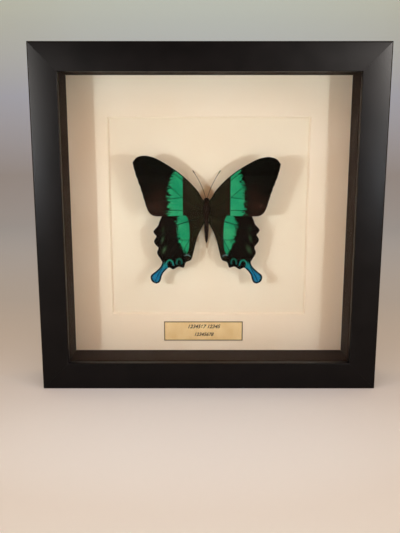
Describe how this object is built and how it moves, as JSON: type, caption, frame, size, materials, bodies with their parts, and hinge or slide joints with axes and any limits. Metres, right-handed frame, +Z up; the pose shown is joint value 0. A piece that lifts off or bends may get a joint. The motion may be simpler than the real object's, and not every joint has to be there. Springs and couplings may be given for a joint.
{
  "type": "framed butterfly specimen",
  "caption": "Deep square box frame with a glass front, bevelled window mat and name label, holding a spread swallowtail butterfly that floats in the window.",
  "frame": {"origin": "middle of the underside of the frame, halfway between its front and back", "axes": "+Z up, the glass faces -Y, +X to the right as seen from the front"},
  "size_m": [0.25, 0.045, 0.25],
  "materials": {
    "frame_black": "satin black paint",
    "spacer_black": "matte black, warm tint",
    "glass": "clear float glass",
    "mat_board": "cream uncoated board",
    "card": "cream uncoated board",
    "hardboard": "brown hardboard",
    "zinc_steel": "zinc plated",
    "brassed_steel": "brass plated",
    "label_paper": "tan paper",
    "cork": "cork",
    "forewing": "scaled wing membrane, black with a green band",
    "hindwing": "scaled wing membrane, black with a green band and blue-green tail",
    "body": "short dark hair",
    "antenna": "dry chitin"
  },
  "bodies": {
    "root": {"frame_rail_bottom": "frame_black", "frame_rail_left": "frame_black", "frame_rail_top": "frame_black", "frame_rail_right": "frame_black", "spacer_bottom": "spacer_black", "spacer_left": "spacer_black", "spacer_top": "spacer_black", "spacer_right": "spacer_black", "glass_pane": "glass", "window_mat": "mat_board", "mount_card": "card", "back_panel": "hardboard", "flex_tab_bottom_1": "zinc_steel", "flex_tab_bottom_2": "zinc_steel", "flex_tab_left_1": "zinc_steel", "flex_tab_left_2": "zinc_steel", "flex_tab_top_1": "zinc_steel", "flex_tab_top_2": "zinc_steel", "flex_tab_right_1": "zinc_steel", "flex_tab_right_2": "zinc_steel", "sawtooth_hanger": "brassed_steel", "hanger_rivet_1": "brassed_steel", "hanger_rivet_2": "brassed_steel", "name_label": "label_paper", "specimen_support": "cork", "butterfly_body": "body", "forewing_left": "forewing", "forewing_right": "forewing", "hindwing_left": "hindwing", "hindwing_right": "hindwing", "antenna_left": "antenna", "antenna_right": "antenna"}
  },
  "joints": []
}
